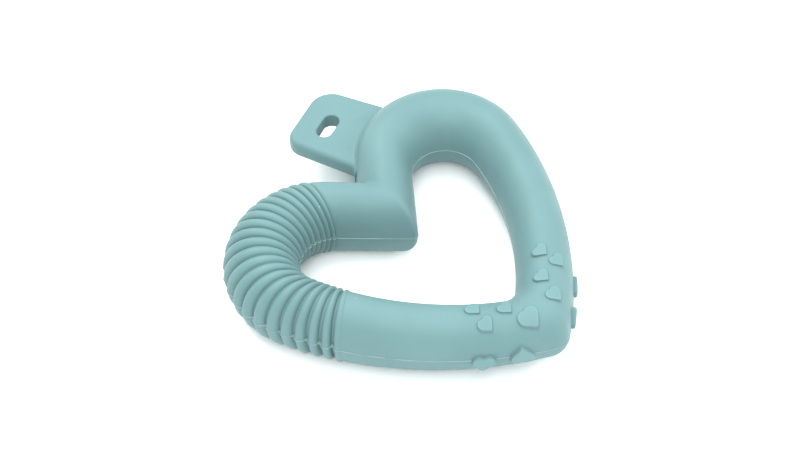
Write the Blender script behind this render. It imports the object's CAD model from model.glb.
import math

import bmesh
import bpy
import numpy as np
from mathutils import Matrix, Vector


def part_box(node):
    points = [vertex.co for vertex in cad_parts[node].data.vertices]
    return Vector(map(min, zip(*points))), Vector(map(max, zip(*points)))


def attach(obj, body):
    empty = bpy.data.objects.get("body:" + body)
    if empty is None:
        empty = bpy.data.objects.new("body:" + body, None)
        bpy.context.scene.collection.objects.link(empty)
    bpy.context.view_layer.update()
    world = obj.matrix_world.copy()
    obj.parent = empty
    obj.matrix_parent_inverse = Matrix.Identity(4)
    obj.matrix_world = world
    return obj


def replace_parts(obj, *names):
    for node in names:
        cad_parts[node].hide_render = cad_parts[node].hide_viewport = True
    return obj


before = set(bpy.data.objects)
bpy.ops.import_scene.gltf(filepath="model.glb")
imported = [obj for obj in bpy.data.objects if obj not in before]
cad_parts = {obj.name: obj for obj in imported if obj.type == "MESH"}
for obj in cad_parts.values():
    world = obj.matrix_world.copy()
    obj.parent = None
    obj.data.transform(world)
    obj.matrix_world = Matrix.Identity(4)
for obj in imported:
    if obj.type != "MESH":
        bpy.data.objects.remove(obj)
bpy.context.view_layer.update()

MM = 0.001

# Plan outlines of the heart in millimetres, as the CAD has them: the lobe arc's centre and
# radius, the direction where it passes into the side arc, the cleft line's slope, where the
# side arcs would cross at the point, and the roundings at the cleft and at the point.
OUTER = dict(lobe=(24.1, 8.2), r=23.6, join=-19.5, slope=49.5, tip_y=-55.1, cleft_r=0.8, tip_r=4.0)
INNER = dict(lobe=(21.3, 4.4), r=9.2, join=-18.5, slope=47.5, tip_y=-37.75, cleft_r=1.3, tip_r=6.3)
CLEFT_HALF_HEIGHT = 10.9
LOBE_HALF_HEIGHT = 10.6
TIP_HALF_HEIGHT = 8.7

# Ribs: the grooves are upright planes through one line, the fan line. The turn from one groove
# to the next grows, and its growth fades.
FAN_LINE = np.array((17.2, 0.0))
FIRST_GROOVE = 104.5            # direction of the first groove from the fan line, in degrees
FIRST_PITCH = 5.15              # turn from the first groove to the second
PITCH_GROWTH = 0.262
GROWTH_FADE = 0.016
RIB_COUNT = 20                  # ribs between two grooves; one more ends the row
RIB_PROUD = 0.3                 # height of a rib over the plain ring
END_RIB_W = 2.2
GROOVE_DEPTH = (0.75, 1.45)     # at the first groove and at the last
GROOVE_FLOOR = (0.02, 0.13)     # share of the pitch that is flat floor, on each side

# Moulding line: a fine fin all round at mid-height, which bridges the grooves
FLASH_HEIGHT = 0.18
FLASH_HALF_ANGLE = 0.75         # degrees of the oval from the fin's crest to its foot
FLASH_BRIDGE = 0.55             # share of a groove's depth that the fin fills
LINE_HALF_WIDTH = 0.17          # of the pale line along the fin

# Silicone colours: two close teals, the dust specks and the moulding line
TEAL = (0.117, 0.211, 0.218, 1)
TEAL_LIGHT = (0.127, 0.227, 0.233, 1)
SPECK = (0.27, 0.38, 0.38, 1)
LINE = (0.28, 0.37, 0.37, 1)
TINT = 0.15                     # how much a tint of 1 or -1 lightens or darkens the hearts
SIDE_FACE_TINT = 0.8            # tint on the faces of the side hearts

# Stages of the walk round half the heart
CLEFT, FAN, SIDE, TIP, END = 0.0, 1.0, 2.0, 3.0, 4.0
CORNER_SHARE = 4 / 13           # share of the first stage that is the cleft's rounding
LIP = 0.052                     # stages taken by the rounded shoulder at the first groove

# Rings of points in each stage of the plain ring
CORNER_RINGS = 12
ARM_RINGS = 30
LOBE_RINGS = 90
SIDE_RINGS = 70
TIP_RINGS = 16

# Hearts on the upper face: plan place and width, four on the plain side and then four mirrored
# ones on the ribbed side
TOP_HEARTS = [(12.4, -35.2, 4.2), (13.1, -40.1, 4.1), (6.6, -40.55, 4.2), (4.6, -46.2, 4.5),
              (12.9, -35.0, 4.2), (13.8, -40.0, 4.2), (7.2, -40.35, 4.2), (4.9, -46.3, 6.0)]
# Hearts across the moulding line: way along the side and whether the point is up, two on the
# plain side and two on the ribbed side. Their widest part lies just below the line.
SIDE_HEARTS = [(49.3, True), (39.6, False), (46.5, True), (37.1, False)]
SIDE_HEART_W = 6.0
SIDE_HEART_DROP = 0.3
TOP_HEART_H = 0.58
SIDE_HEART_H = 1.1
TOP_LEVEL = 0.3         # how far a heart's top is levelled, from the skin's curve to a plane
SIDE_LEVEL = 0.35
HEART_FOOT = 0.3        # how deep a heart's foot lies under the skin

# Strap tab: its direction from the outer lobe's centre, its size and its slot
TAB_ANGLE = 108.6
TAB_SHIFT = -0.95       # sideways from the line through the lobe's centre
TAB_REACH = 41.95       # from the lobe's centre to the tab's end
TAB_END_W = 22.8
TAB_ROOT_W = 24.0
TAB_T = 5.2
TAB_CORNERS = (6.6, 4.6)
TAB_RIM_R = 1.5
TAB_ROOT_FILLET = 2.0   # in plan, where the tab's edges reach the lobe
TAB_FILLET = 1.0        # in height, where the tab's faces reach the lobe
TAB_BURIED = 1.8        # depth of the tab's root inside the lobe's outline
TAB_FACE_EDGE = TAB_RIM_R + 0.3     # inset of the flat face's outermost loop
SLOT_L = 8.6
SLOT_W = 4.4
SLOT_INSET = 8.7        # from the tab's end to the slot's middle
SLOT_SHIFT = -1.6
SLOT_RIM_R = 0.4
SLOT_FLARE = 1.1
SLOT_FLARE_FROM = -0.9  # height, from mid-height, where the flare starts


def unit(a):
    a = math.radians(a)
    return np.array((math.cos(a), math.sin(a)))


def bearing(v):
    return math.degrees(math.atan2(v[1], v[0]))


def mix(a, b, t):
    return a + (b - a) * t


def lobe(o):
    return np.array(o["lobe"])


def side_r(o):
    w = np.array((0.0, o["tip_y"])) - lobe(o)
    n = unit(o["join"])
    return (w @ w - 2 * o["r"] * (w @ n) + o["r"] ** 2) / (2 * (o["r"] - w @ n))


def side_centre(o):
    return lobe(o) - (side_r(o) - o["r"]) * unit(o["join"])


def cleft_centre(o):
    a = math.radians(o["slope"])
    x, y = o["lobe"]
    return np.array((0.0, y - x * math.tan(a) + (o["r"] + o["cleft_r"]) / math.cos(a)))


def tip_centre(o):
    c = side_centre(o)
    r = side_r(o) - o["tip_r"]
    return np.array((0.0, c[1] - math.sqrt(r * r - c[0] ** 2)))


def on_circle(a, c, r):
    v = FAN_LINE - c
    d = unit(a)
    return FAN_LINE + d * (math.sqrt((v @ d) ** 2 - v @ v + r * r) - v @ d)


def fan_point(o, a):
    p = on_circle(a, lobe(o), o["r"])
    if bearing(p - lobe(o)) >= o["join"]:
        return p
    return on_circle(a, side_centre(o), side_r(o))


def groove_angle(i):
    turn = FIRST_PITCH * i + PITCH_GROWTH * i * (i - 1) / 2 - GROWTH_FADE * i * (i - 1) * (i - 2) / 6
    return FIRST_GROOVE - turn


LAST_GROOVE = groove_angle(RIB_COUNT)


def arm_point(o, t):
    foot = cleft_centre(o) + o["cleft_r"] * unit(o["slope"] - 90)
    stop = bearing(fan_point(o, FIRST_GROOVE) - lobe(o))
    turn = max(0.0, o["slope"] + 90 - stop)
    head = lobe(o) + o["r"] * unit(stop + turn)
    line = np.linalg.norm(head - foot)
    way = t * (line + o["r"] * math.radians(turn))
    if way < line:
        return mix(foot, head, way / line)
    return lobe(o) + o["r"] * unit(stop + turn - math.degrees((way - line) / o["r"]))


def outline_point(o, s):
    if s < CORNER_SHARE:
        return cleft_centre(o) + o["cleft_r"] * unit(o["slope"] * s / CORNER_SHARE - 90)
    if s < FAN:
        return arm_point(o, (s - CORNER_SHARE) / (FAN - CORNER_SHARE))
    if s <= SIDE:
        return fan_point(o, mix(FIRST_GROOVE, LAST_GROOVE, s - FAN))
    if s <= TIP:
        c = side_centre(o)
        a = bearing(fan_point(o, LAST_GROOVE) - c)
        return c + side_r(o) * unit(mix(a, bearing(tip_centre(o) - c), s - SIDE))
    a = bearing(tip_centre(o) - side_centre(o))
    return tip_centre(o) + o["tip_r"] * unit(mix(a, -90.0, s - TIP))


def half_height(s):
    if s < FAN:
        return CLEFT_HALF_HEIGHT
    if s < SIDE:
        return mix(CLEFT_HALF_HEIGHT, LOBE_HALF_HEIGHT, s - FAN)
    return mix(LOBE_HALF_HEIGHT, TIP_HALF_HEIGHT, min(1.0, s - SIDE))


# Where the outlines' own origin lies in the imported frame
tab_low, tab_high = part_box("strap_tab")
tip_low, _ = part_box("tip_corner")
SHIFT = np.array((0.0, tip_low[1] / MM - (tip_centre(OUTER)[1] - OUTER["tip_r"]),
                  (tab_low[2] + tab_high[2]) / 2 / MM))


def section(s):
    """Middle, outward direction, half-width and half-height of the oval at a stage."""
    i = outline_point(INNER, s)
    o = outline_point(OUTER, s)
    w = np.linalg.norm(o - i) / 2
    return (i + o) / 2, (o - i) / (2 * w), w, half_height(s)


def skin(s, a, e):
    """Points of the ring's skin at stage s and angles a, moved out by e, on the +X half."""
    m, d, w, h = section(s)
    a = np.radians(np.atleast_1d(a).astype(float))
    e = np.broadcast_to(np.asarray(e, float), a.shape)
    near = np.linalg.norm(m - FAN_LINE)
    fade = np.where(e < 0, (near + w * np.cos(a)) / (near + w), 1.0)
    out = (w + e * fade) * np.cos(a)
    return np.column_stack((m[0] + d[0] * out, m[1] + d[1] * out, (h + e * fade) * np.sin(a)))


def place(points):
    """Millimetres round the outlines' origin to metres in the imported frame."""
    return (np.asarray(points) + SHIFT) * MM


# Angles round one section, closer together at the moulding line
flash_steps = np.array((0, 1, 2, 3, 5.2, 9.6)) / 3 * FLASH_HALF_ANGLE
around = np.unique(np.concatenate([
    np.concatenate((flash_steps, -flash_steps)) % 360,
    np.concatenate((flash_steps, -flash_steps)) + 180,
    np.linspace(4.5, 175.5, 46), np.linspace(184.5, 355.5, 46)]))


def from_line(a):
    """Angle from the moulding line, as a share of the fin's half-width."""
    off = np.minimum(np.abs((a + 90) % 180 - 90), 90)
    return np.clip(off / FLASH_HALF_ANGLE, 0, 1)


FIN = (1 - from_line(around)) ** 0.8


def ring(s, e, side):
    """One oval of the ring: e is the rib relief, which the fin bridges where it is a groove."""
    relief = e * (1 - FLASH_BRIDGE * FIN) if e < 0 else e
    p = skin(s, around, relief + FLASH_HEIGHT * FIN)
    p[:, 0] *= side
    return place(p)


def new_piece(name, verts, faces, material, crease=50):
    mesh = bpy.data.meshes.new(name)
    mesh.from_pydata([tuple(v) for v in verts], [], faces)
    mesh.update()
    bm = bmesh.new()
    bm.from_mesh(mesh)
    bmesh.ops.recalc_face_normals(bm, faces=bm.faces)
    bm.to_mesh(mesh)
    bm.free()
    mesh.shade_smooth()
    mesh.set_sharp_from_angle(angle=math.radians(crease))
    mesh.materials.append(material)
    obj = bpy.data.objects.new(name, mesh)
    bpy.context.scene.collection.objects.link(obj)
    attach(obj, "root")
    return obj


def tube(name, rings, material):
    """Closed tube through rings of equal length, with a fan of triangles on each end."""
    n = len(rings[0])
    last = len(rings) - 1
    verts = np.concatenate(rings + [rings[0].mean(0)[None], rings[-1].mean(0)[None]])
    faces = [(j * n + k, j * n + (k + 1) % n, (j + 1) * n + (k + 1) % n, (j + 1) * n + k)
             for j in range(last) for k in range(n)]
    faces += [(k, len(verts) - 2, (k + 1) % n) for k in range(n)]
    faces += [(last * n + k, last * n + (k + 1) % n, len(verts) - 1) for k in range(n)]
    return new_piece(name, verts, faces, material)


def silicone(name, with_line):
    """Dusty teal silicone: matte skin with fine grain, faint mottling and a few specks."""
    mat = bpy.data.materials.new(name)
    mat.use_nodes = True
    nodes, links = mat.node_tree.nodes, mat.node_tree.links
    shader = nodes["Principled BSDF"]
    shader.inputs["IOR"].default_value = 1.41
    shader.inputs["Specular IOR Level"].default_value = 0.27
    shader.inputs["Sheen Weight"].default_value = 0.03
    shader.inputs["Sheen Roughness"].default_value = 0.5
    where = nodes.new("ShaderNodeTexCoord").outputs["Object"]

    def noise(scale, detail=3.0, roughness=0.55):
        n = nodes.new("ShaderNodeTexNoise")
        n.inputs["Scale"].default_value = scale
        n.inputs["Detail"].default_value = detail
        n.inputs["Roughness"].default_value = roughness
        links.new(where, n.inputs["Vector"])
        return n.outputs["Fac"]

    def remap(value, low, high, out_low, out_high):
        m = nodes.new("ShaderNodeMapRange")
        for socket, v in (("From Min", low), ("From Max", high),
                          ("To Min", out_low), ("To Max", out_high)):
            m.inputs[socket].default_value = v
        links.new(value, m.inputs["Value"])
        return m.outputs["Result"]

    # Colour: two close teals mottled by a broad noise, then small pale dust specks
    teal = nodes.new("ShaderNodeMix")
    teal.data_type = "RGBA"
    teal.inputs["A"].default_value = TEAL
    teal.inputs["B"].default_value = TEAL_LIGHT
    links.new(remap(noise(55), 0.35, 0.65, 0, 1), teal.inputs["Factor"])
    cells = nodes.new("ShaderNodeTexVoronoi")
    cells.inputs["Scale"].default_value = 330
    cells.inputs["Randomness"].default_value = 1
    links.new(where, cells.inputs["Vector"])
    near = remap(cells.outputs["Distance"], 0.05, 0.09, 1, 0)
    split = nodes.new("ShaderNodeSeparateColor")
    links.new(cells.outputs["Color"], split.inputs["Color"])
    chosen = remap(split.outputs["Red"], 0.975, 0.98, 0, 1)
    speck = nodes.new("ShaderNodeMath")
    speck.operation = "MULTIPLY"
    links.new(near, speck.inputs[0])
    links.new(chosen, speck.inputs[1])
    dusted = nodes.new("ShaderNodeMix")
    dusted.data_type = "RGBA"
    dusted.inputs["B"].default_value = SPECK
    links.new(speck.outputs[0], dusted.inputs["Factor"])
    links.new(teal.outputs["Result"], dusted.inputs["A"])

    # The moulding line is a thin pale line at mid-height, fainter here and there
    apart = nodes.new("ShaderNodeSeparateXYZ")
    links.new(where, apart.inputs["Vector"])
    middle = place((0, 0, 0))[2]
    off = nodes.new("ShaderNodeMath")
    off.operation = "SUBTRACT"
    off.inputs[1].default_value = middle
    links.new(apart.outputs["Z"], off.inputs[0])
    away = nodes.new("ShaderNodeMath")
    away.operation = "ABSOLUTE"
    links.new(off.outputs[0], away.inputs[0])
    edge = LINE_HALF_WIDTH * MM
    on_line = remap(away.outputs[0], edge * 0.6, edge, 1, 0)
    strength = nodes.new("ShaderNodeMath")
    strength.operation = "MULTIPLY"
    links.new(on_line, strength.inputs[0])
    links.new(remap(noise(240, 2), 0.35, 0.6, 0.25, 0.7), strength.inputs[1])
    lined = nodes.new("ShaderNodeMix")
    lined.data_type = "RGBA"
    lined.inputs["B"].default_value = LINE
    lined.inputs["Factor"].default_value = 0
    if with_line:
        links.new(strength.outputs[0], lined.inputs["Factor"])
    links.new(dusted.outputs["Result"], lined.inputs["A"])

    # The hearts' rims are rubbed pale and their feet sit in a darker crease
    tint_at = nodes.new("ShaderNodeAttribute")
    tint_at.attribute_name = "tint"
    rubbed = nodes.new("ShaderNodeHueSaturation")
    links.new(remap(tint_at.outputs["Fac"], -1, 1, 1 - TINT, 1 + TINT), rubbed.inputs["Value"])
    links.new(lined.outputs["Result"], rubbed.inputs["Color"])
    links.new(rubbed.outputs["Color"], shader.inputs["Base Color"])

    # Roughness: slightly glossier where the mould was smoother
    links.new(remap(noise(140, 2), 0.3, 0.7, 0.46, 0.58), shader.inputs["Roughness"])

    # Grain: a fine pebble over a broader unevenness
    grain = nodes.new("ShaderNodeBump")
    grain.inputs["Strength"].default_value = 0.10
    grain.inputs["Distance"].default_value = 0.0001
    links.new(noise(3800, 2), grain.inputs["Height"])
    uneven = nodes.new("ShaderNodeBump")
    uneven.inputs["Strength"].default_value = 0.10
    uneven.inputs["Distance"].default_value = 0.0008
    links.new(noise(160, 3), uneven.inputs["Height"])
    links.new(uneven.outputs["Normal"], grain.inputs["Normal"])
    links.new(grain.outputs["Normal"], shader.inputs["Normal"])
    return mat


LINED = silicone("silicone_skin", True)
PLAIN = silicone("silicone_skin_away_from_line", False)


def plain_rings(start, stop, n, side):
    """Ovals of the plain skin between two stages, without the last one."""
    return [ring(mix(start, stop, k / n), 0, side) for k in range(n)]


def plain_ring():
    """Everything but the ribs: from the first groove round the smooth half to the last rib."""
    shoulder = [(FAN - LIP * u, -GROOVE_DEPTH[0] * (1 - math.sqrt(1 - (1 - u) ** 2)))
                for u in (0, 0.03, 0.1, 0.2, 0.35, 0.55, 0.78, 1)]
    left = [ring(s, e, -1) for s, e in shoulder]
    left += plain_rings(FAN - LIP * 1.3, CORNER_SHARE, ARM_RINGS, -1)
    left += plain_rings(CORNER_SHARE, CLEFT, CORNER_RINGS, -1)
    right = plain_rings(CLEFT, CORNER_SHARE, CORNER_RINGS, 1)
    right += plain_rings(CORNER_SHARE, FAN, ARM_RINGS, 1)
    right += plain_rings(FAN, SIDE, LOBE_RINGS, 1)
    right += plain_rings(SIDE, TIP, SIDE_RINGS, 1)
    right += plain_rings(TIP, END, TIP_RINGS, 1)
    back = plain_rings(END, TIP, TIP_RINGS, -1)
    back += plain_rings(TIP, end_rib_stage(), SIDE_RINGS, -1)
    back += [ring(end_rib_stage(), 0, -1)]
    piece = tube("plain_ring", left + right + back, LINED)
    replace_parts(piece, "cleft_corner", "smooth_lobe", "smooth_side", "tip_corner", "ribbed_side")


def side_length():
    return np.linalg.norm(outline_point(OUTER, TIP) - outline_point(OUTER, SIDE))


def end_rib_stage():
    return SIDE + END_RIB_W / side_length()


def stage_of(angle):
    return FAN + (FIRST_GROOVE - angle) / (FIRST_GROOVE - LAST_GROOVE)


def rib_relief(u, along):
    """Height of a rib over the plain ring at share u of its width; along is 0 to 1 over the fan."""
    depth = mix(*GROOVE_DEPTH, along)
    floor = mix(*GROOVE_FLOOR, along)
    v = min(1.0, max(0.0, (u - floor) / (1 - 2 * floor)))
    swell = (1 - abs(2 * v - 1) ** 2.2) ** 0.5
    return mix(-depth, RIB_PROUD, swell)


RIB_SHARES = [0, 0.02, 0.05, 0.09, 0.12, 0.17, 0.24, 0.33, 0.42, 0.5]
RIB_SHARES += [1 - u for u in reversed(RIB_SHARES[:-1])]


def ribs():
    for i in range(1, RIB_COUNT + 1):
        a, b = groove_angle(i - 1), groove_angle(i)
        rings = [ring(stage_of(mix(a, b, u)), rib_relief(u, (i - 1 + u) / RIB_COUNT), -1)
                 for u in RIB_SHARES]
        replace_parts(tube(f"rib_{i:02d}", rings, LINED), f"rib_{i:02d}")
    rings = []
    for u in RIB_SHARES:
        relief = rib_relief(u, 1.0) if u < 0.5 else RIB_PROUD * (1 - abs(2 * u - 1) ** 3)
        rings.append(ring(mix(SIDE, end_rib_stage(), u), relief, -1))
    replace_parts(tube("rib_21", rings, LINED), "rib_21")


# A unit heart: a square on its corner with a round lobe on each upper side
LOBE_R = 0.293
LOBE_AT = (0.207, 0.121)
SQUARE_SIDES = [(-45, 0.354), (-135, 0.354), (45, 0.232), (135, 0.232)]
HEART_POINTS = 96


def heart_edge(k):
    a = -90 - k * 360 / HEART_POINTS
    reach = [s / math.cos(math.radians(a - d)) for d, s in SQUARE_SIDES
             if math.cos(math.radians(a - d)) > 0.01]
    best = min(reach)
    for side in (-1, 1):
        c = np.array((side * LOBE_AT[0], LOBE_AT[1]))
        p = c @ unit(a)
        best = max(best, p + math.sqrt(p * p - c @ c + LOBE_R ** 2))
    return best * unit(a)


def heart_outline():
    """The unit heart with its point and its notch eased a little."""
    pts = np.array([heart_edge(k) for k in range(HEART_POINTS)])
    for _ in range(5):
        pts = (np.roll(pts, 1, 0) + 2 * pts + np.roll(pts, -1, 0)) / 4
    return pts


# The ring's walk as a table, fine enough to look up any point of the hearts' end of it
WALK = np.linspace(SIDE, END, 1601)
WALK_SECTIONS = [section(s) for s in WALK]
WALK_MIDDLE = np.array([m for m, d, w, h in WALK_SECTIONS])
WALK_OUT = np.array([d for m, d, w, h in WALK_SECTIONS])
WALK_W = np.array([w for m, d, w, h in WALK_SECTIONS])
WALK_H = np.array([h for m, d, w, h in WALK_SECTIONS])


def walk_plan(s):
    """Middle and outward direction of the ovals at stages s."""
    return [np.column_stack([np.interp(s, WALK, plan[:, k]) for k in (0, 1)])
            for plan in (WALK_MIDDLE, WALK_OUT)]


def walk_skin(s, c, sine):
    """Points of the skin at stages s, from the cosine and the sine of the oval's angle."""
    m, d = walk_plan(s)
    out = np.interp(s, WALK, WALK_W) * c
    return np.column_stack((m + d * out[:, None], np.interp(s, WALK, WALK_H) * sine))


def over_top(p):
    """Points of the upper skin over plan points on the +X half."""
    v = p[:, None] - (WALK_MIDDLE - WALK_OUT * WALK_W[:, None])
    cross = WALK_OUT[:, 0] * v[..., 1] - WALK_OUT[:, 1] * v[..., 0]
    k = np.clip((cross <= 0).sum(1), 1, len(WALK) - 1)
    rows = np.arange(len(p))
    before, after = cross[rows, k - 1], cross[rows, k]
    s = mix(WALK[k - 1], WALK[k], before / (before - after))
    m, d = walk_plan(s)
    c = np.clip(((p - m) * d).sum(1) / np.interp(s, WALK, WALK_W), -1, 1)
    return walk_skin(s, c, np.sqrt(1 - c * c))


def over_side(v):
    """Points of the outer skin, where v is the way along the ring and the height."""
    s = SIDE + v[:, 0] / side_length()
    sine = np.clip(v[:, 1] / np.interp(s, WALK, WALK_H), -1, 1)
    return walk_skin(s, np.sqrt(1 - sine ** 2), sine)


# Profile of a raised heart from its buried foot to the middle of its top: how far outside the
# outline, the height over the skin, the share of the heart's height added, and the tint, from
# -1 in the crease round the foot to 1 on the rubbed rim
HEART_PROFILE = [(0.60, -HEART_FOOT, 0, 0), (0.60, 0.012, 0, 0), (0.42, 0.015, 0, -0.25),
                 (0.24, 0.02, 0, -0.7), (0.09, 0.045, 0, -1), (0.02, 0.09, 0, -1),
                 (0, 0, 0.4, -0.8), (-0.01, 0, 0.65, -0.4), (-0.05, 0, 0.85, 0.3),
                 (-0.12, 0, 0.96, 0.9), (-0.22, 0, 1, 1), (-0.4, 0, 1, 0.6),
                 (-0.8, 0, 1, 0.35), (-1.2, 0, 1, 0.3)]
HEART_REACH = 0.47      # how far the unit heart's edge is from its middle, about
SIDE_SPREAD = 2         # the side hearts' rims and tops are drawn in this much further


def heart_rings(centre, width, turn, height, on_top):
    """Rings of a raised heart's skin on the +X half, from its buried foot to its crown."""
    outline = heart_outline() * width
    c, s = unit(turn)
    x, y = outline.T
    outline = np.column_stack((x * c - y * s, x * s + y * c))

    def at(v):
        over = over_top if on_top else over_side
        return over(np.array(centre) + v)

    # The walls rise the way the mould opens: straight up, or level and square to the ring's side
    before, after, foot = at(np.array(((-0.3, 0), (0.3, 0), (0, 0))))
    up = np.array((0.0, 0.0, 1.0))
    if not on_top:
        up = np.cross(up, after - before)
        up /= np.linalg.norm(up)
    level = TOP_LEVEL if on_top else SIDE_LEVEL
    rings = []
    for out, lift, rise, _ in HEART_PROFILE:
        spread = 1 if on_top or out > 0 else SIDE_SPREAD
        skin_points = at(outline * (1 + spread * out / (HEART_REACH * width)))
        fall = (foot - skin_points) @ up
        rings.append(skin_points + up * (lift + height * rise + level * rise * fall)[:, None])
    return rings, (foot + up * height)[None], (foot - up * HEART_FOOT)[None]


def raised_heart(centre, width, turn, height, on_top, half):
    """Vertices, faces and tints of a heart over the skin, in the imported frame."""
    rings, crown, foot = heart_rings(centre, width, turn, height, on_top)
    verts = np.concatenate(rings + [crown, foot])
    verts[:, 0] *= half
    n, last = HEART_POINTS, len(rings) - 1
    faces = [(j * n + k, j * n + (k + 1) % n, (j + 1) * n + (k + 1) % n, (j + 1) * n + k)
             for j in range(last) for k in range(n)]
    faces += [(last * n + k, last * n + (k + 1) % n, len(verts) - 2) for k in range(n)]
    faces += [(k, len(verts) - 1, (k + 1) % n) for k in range(n)]
    face = HEART_PROFILE[-1][3] if on_top else SIDE_FACE_TINT
    tints = [max(shade, face) if rise == 1 else shade for _, _, rise, shade in HEART_PROFILE]
    return place(verts), faces, np.repeat(tints, n).tolist() + [face, 0]


def tint(piece, values):
    """Stores a value per vertex that the silicone's colour follows."""
    piece.data.attributes.new("tint", "FLOAT", "POINT").data.foreach_set("value", values)
    return piece


def hearts():
    """The first half of each list lies on the plain side and the second half is mirrored."""
    for i, (x, y, width) in enumerate(TOP_HEARTS):
        name = f"heart_{i + 1:02d}"
        half = 1 if i < len(TOP_HEARTS) / 2 else -1
        verts, faces, tints = raised_heart((x, y), width, 0, TOP_HEART_H, True, half)
        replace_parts(tint(new_piece(name, verts, faces, PLAIN), tints), name)
    for i, (way, point_up) in enumerate(SIDE_HEARTS):
        rise = LOBE_AT[1] * SIDE_HEART_W * (1 if point_up else -1) - SIDE_HEART_DROP
        turn = 180 if point_up else 0
        name = f"side_heart_{i + 1:02d}"
        half = 1 if i < len(SIDE_HEARTS) / 2 else -1
        verts, faces, tints = raised_heart((way, rise), SIDE_HEART_W, turn, SIDE_HEART_H, False, half)
        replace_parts(tint(new_piece(name, verts, faces, PLAIN), tints), name)


TAB_POINTS = 360


def tab_points(inset, flared=True):
    """The tab's outline moved in by inset: X across, Y along, from the outer lobe's centre."""
    buried = OUTER["r"] - TAB_BURIED
    half_end, half_root = TAB_END_W / 2, TAB_ROOT_W / 2
    meets = math.sqrt(OUTER["r"] ** 2 - half_root ** 2)
    lean = math.degrees(math.atan2(half_root - half_end, TAB_REACH - meets))
    f = TAB_ROOT_FILLET
    fillet_top = meets + f * 0.4
    start = fillet_top - f
    spread = f if flared else 0.0
    halves = []
    # Each half is an arc inside the lobe, a point where the edge comes out, the root's fillet and
    # then the far corner
    for r in TAB_CORNERS:
        root = [(buried * math.sin(a), buried * math.cos(a))
                for a in np.linspace(0.01, math.asin((half_root - 2.0) / buried), 12)]
        root.append((half_root + f - 0.8, start - 1.2) if flared else (half_root - inset - 0.1, start))
        side = [(half_root + spread * (1 - math.cos(a)) - inset, fillet_top - f * math.sin(a))
                for a in np.linspace(math.pi / 2, 0, 8)]
        corner = [(half_end - r + (r - inset) * math.cos(a), TAB_REACH - r + (r - inset) * math.sin(a))
                  for a in np.radians(np.linspace(lean, 90, 20))]
        halves.append(root + side + corner)
    points = halves[0] + [(-x, y) for x, y in reversed(halves[1])]
    return np.array(points + [points[0]])


def tab_outline(inset, flared=True):
    """Points spread evenly along the tab's edge, then moved in by inset."""
    edge = tab_points(0.0)
    way = np.concatenate(([0], np.cumsum(np.linalg.norm(np.diff(edge, axis=0), axis=1))))
    at = np.linspace(0, way[-1], TAB_POINTS, endpoint=False)
    moved = tab_points(inset, flared)
    return np.column_stack([np.interp(at, way, moved[:, k]) for k in (0, 1)])


SLOT_MIDDLE = np.array((SLOT_SHIFT, TAB_REACH - SLOT_INSET))


def slot_outline(grow):
    """The slot's outline grown by grow, seen from its middle towards each point of the tab's edge."""
    v = tab_outline(TAB_FACE_EDGE, False) - SLOT_MIDDLE
    turn = np.unwrap(np.arctan2(v[:, 1], v[:, 0]))
    turn = np.maximum.accumulate(turn)
    c, s = np.cos(turn), np.sin(turn)
    span, r = (SLOT_L - SLOT_W) / 2, SLOT_W / 2 + grow
    flat = r / np.maximum(np.abs(s), 1e-6)
    bent = span * np.abs(c) + np.sqrt(np.maximum(0, r * r - (span * s) ** 2))
    reach = np.where(flat * np.abs(c) <= span, flat, bent)
    return SLOT_MIDDLE + np.column_stack((c, s)) * reach[:, None]


def rim(outline, radius):
    """Loops of a rounded upper rim, from the flat face outwards."""
    half = TAB_T / 2
    return [(outline(radius * (1 - math.sin(t))), half - radius * (1 - math.cos(t)))
            for t in np.radians(np.linspace(0, 90, 9))]


def root_fillet(xy, z):
    """Lifts the tab's faces into a soft fillet where they reach the ring's tube."""
    wall = OUTER["r"] - 0.25
    past = np.linalg.norm(xy + (TAB_SHIFT, 0), axis=1) - wall
    left = np.clip(TAB_FILLET - past, 0, TAB_FILLET)
    return z * (1 + (TAB_FILLET - np.sqrt(TAB_FILLET ** 2 - left ** 2)) / (TAB_T / 2))


# Loops of the tab's flat faces, from the edge at 0 to the slot at 1, closer where the fillet is
FACE_SHARES = [0, 0.03, 0.055, 0.075, 0.095, 0.115, 0.135, 0.155, 0.175, 0.195, 0.215, 0.235,
               0.255, 0.28, 0.31, 0.34, 0.38, 0.45, 0.6, 0.8, 0.96]


def strap_tab():
    outer = rim(tab_outline, TAB_RIM_R)
    slot = rim(slot_outline, SLOT_RIM_R)
    half = TAB_T / 2
    edge = tab_outline(TAB_FACE_EDGE, False)
    face = [(mix(edge, slot[0][0], u), half) for u in FACE_SHARES]
    # The slot's wall is upright down to just below the moulding line, then flares to the underside
    depth = SLOT_FLARE_FROM + half
    flare = [(slot_outline(SLOT_FLARE * (1 - math.cos(t))), SLOT_FLARE_FROM - depth * math.sin(t))
             for t in np.radians(np.linspace(0, 90, 10))]
    under = [(mix(edge, flare[-1][0], u), -half) for u in FACE_SHARES]
    loops = face[::-1] + outer + [(xy, -z) for xy, z in outer[::-1]] + under + flare[::-1] + slot[::-1]
    across, along = unit(TAB_ANGLE - 90), unit(TAB_ANGLE)
    rings = []
    for xy, z in loops:
        plan = lobe(OUTER) + (xy[:, :1] + TAB_SHIFT) * across + xy[:, 1:] * along
        rings.append(place(np.column_stack((plan, root_fillet(xy, z)))))
    n, count = TAB_POINTS, len(rings)
    faces = []
    for j in range(count):
        here, there = j * n, (j + 1) % count * n
        faces += [(here + k, here + (k + 1) % n, there + (k + 1) % n, there + k) for k in range(n)]
    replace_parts(new_piece("strap_tab", np.concatenate(rings), faces, PLAIN, 35), "strap_tab")


FLOOR_HALF = 3.0


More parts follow.
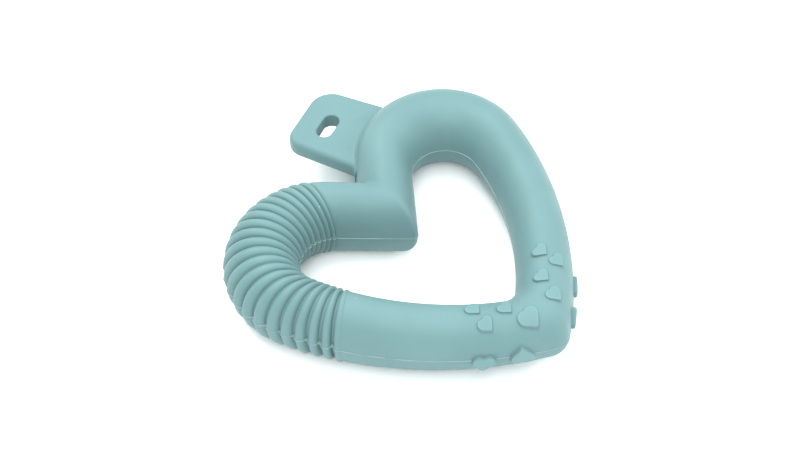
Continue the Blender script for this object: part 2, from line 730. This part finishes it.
def floor():
    mesh = bpy.data.meshes.new("floor")
    corners = [(x * FLOOR_HALF, y * FLOOR_HALF, 0) for x, y in ((-1, -1), (1, -1), (1, 1), (-1, 1))]
    mesh.from_pydata(corners, [], [(0, 1, 2, 3)])
    mat = bpy.data.materials.new("pale_paper")
    mat.use_nodes = True
    shader = mat.node_tree.nodes["Principled BSDF"]
    shader.inputs["Base Color"].default_value = (0.97, 0.97, 0.97, 1)
    shader.inputs["Roughness"].default_value = 0.9
    shader.inputs["Specular IOR Level"].default_value = 0.1
    mesh.materials.append(mat)
    obj = bpy.data.objects.new("floor", mesh)
    bpy.context.scene.collection.objects.link(obj)


def softbox(name, place_at, aim, size, power):
    light = bpy.data.lights.new(name, "AREA")
    light.shape = "DISK"
    light.size = size
    light.energy = power
    obj = bpy.data.objects.new(name, light)
    obj.location = place_at
    obj.rotation_euler = (Vector(aim) - Vector(place_at)).to_track_quat("-Z", "Y").to_euler()
    bpy.context.scene.collection.objects.link(obj)


VIEW_AZIMUTH = -46.95
VIEW_ELEVATION = 50.35
VIEW_DISTANCE = 0.3913
LENS_MM = 67.5
AIM_OFFSET = (-2.19, -0.67)


def camera():
    cam = bpy.data.cameras.new("camera")
    cam.lens = LENS_MM
    cam.sensor_width = 36
    cam.clip_start = 0.01
    az, el = math.radians(VIEW_AZIMUTH), math.radians(VIEW_ELEVATION)
    back = Vector((math.sin(az) * math.cos(el), -math.cos(az) * math.cos(el), math.sin(el)))
    aim = Vector(place((*AIM_OFFSET, 0.0)))
    obj = bpy.data.objects.new("camera", cam)
    obj.location = aim + back * VIEW_DISTANCE
    obj.rotation_euler = back.to_track_quat("Z", "Y").to_euler()
    bpy.context.scene.collection.objects.link(obj)
    bpy.context.scene.camera = obj


def surroundings():
    world = bpy.data.worlds.new("white_room")
    world.use_nodes = True
    world.node_tree.nodes["Background"].inputs["Color"].default_value = (0.88, 1.0, 1.0, 1)
    world.node_tree.nodes["Background"].inputs["Strength"].default_value = 0.747
    bpy.context.scene.world = world
    bpy.context.scene.view_settings.view_transform = "Standard"
    softbox("overhead", (0.0, 0.0, 0.8), (0, 0, 0), 0.7, 4.46)
    softbox("rear", (0.1, 0.55, 0.6), (0, 0, 0), 0.6, 4.9)
    softbox("right", (0.6, -0.35, 0.45), (0, 0, 0), 0.6, 2.9)
    softbox("front_left", (-0.35, -0.35, 0.65), (0, 0, 0), 0.5, 4.35)


camera()
floor()
surroundings()
plain_ring()
ribs()
strap_tab()
hearts()
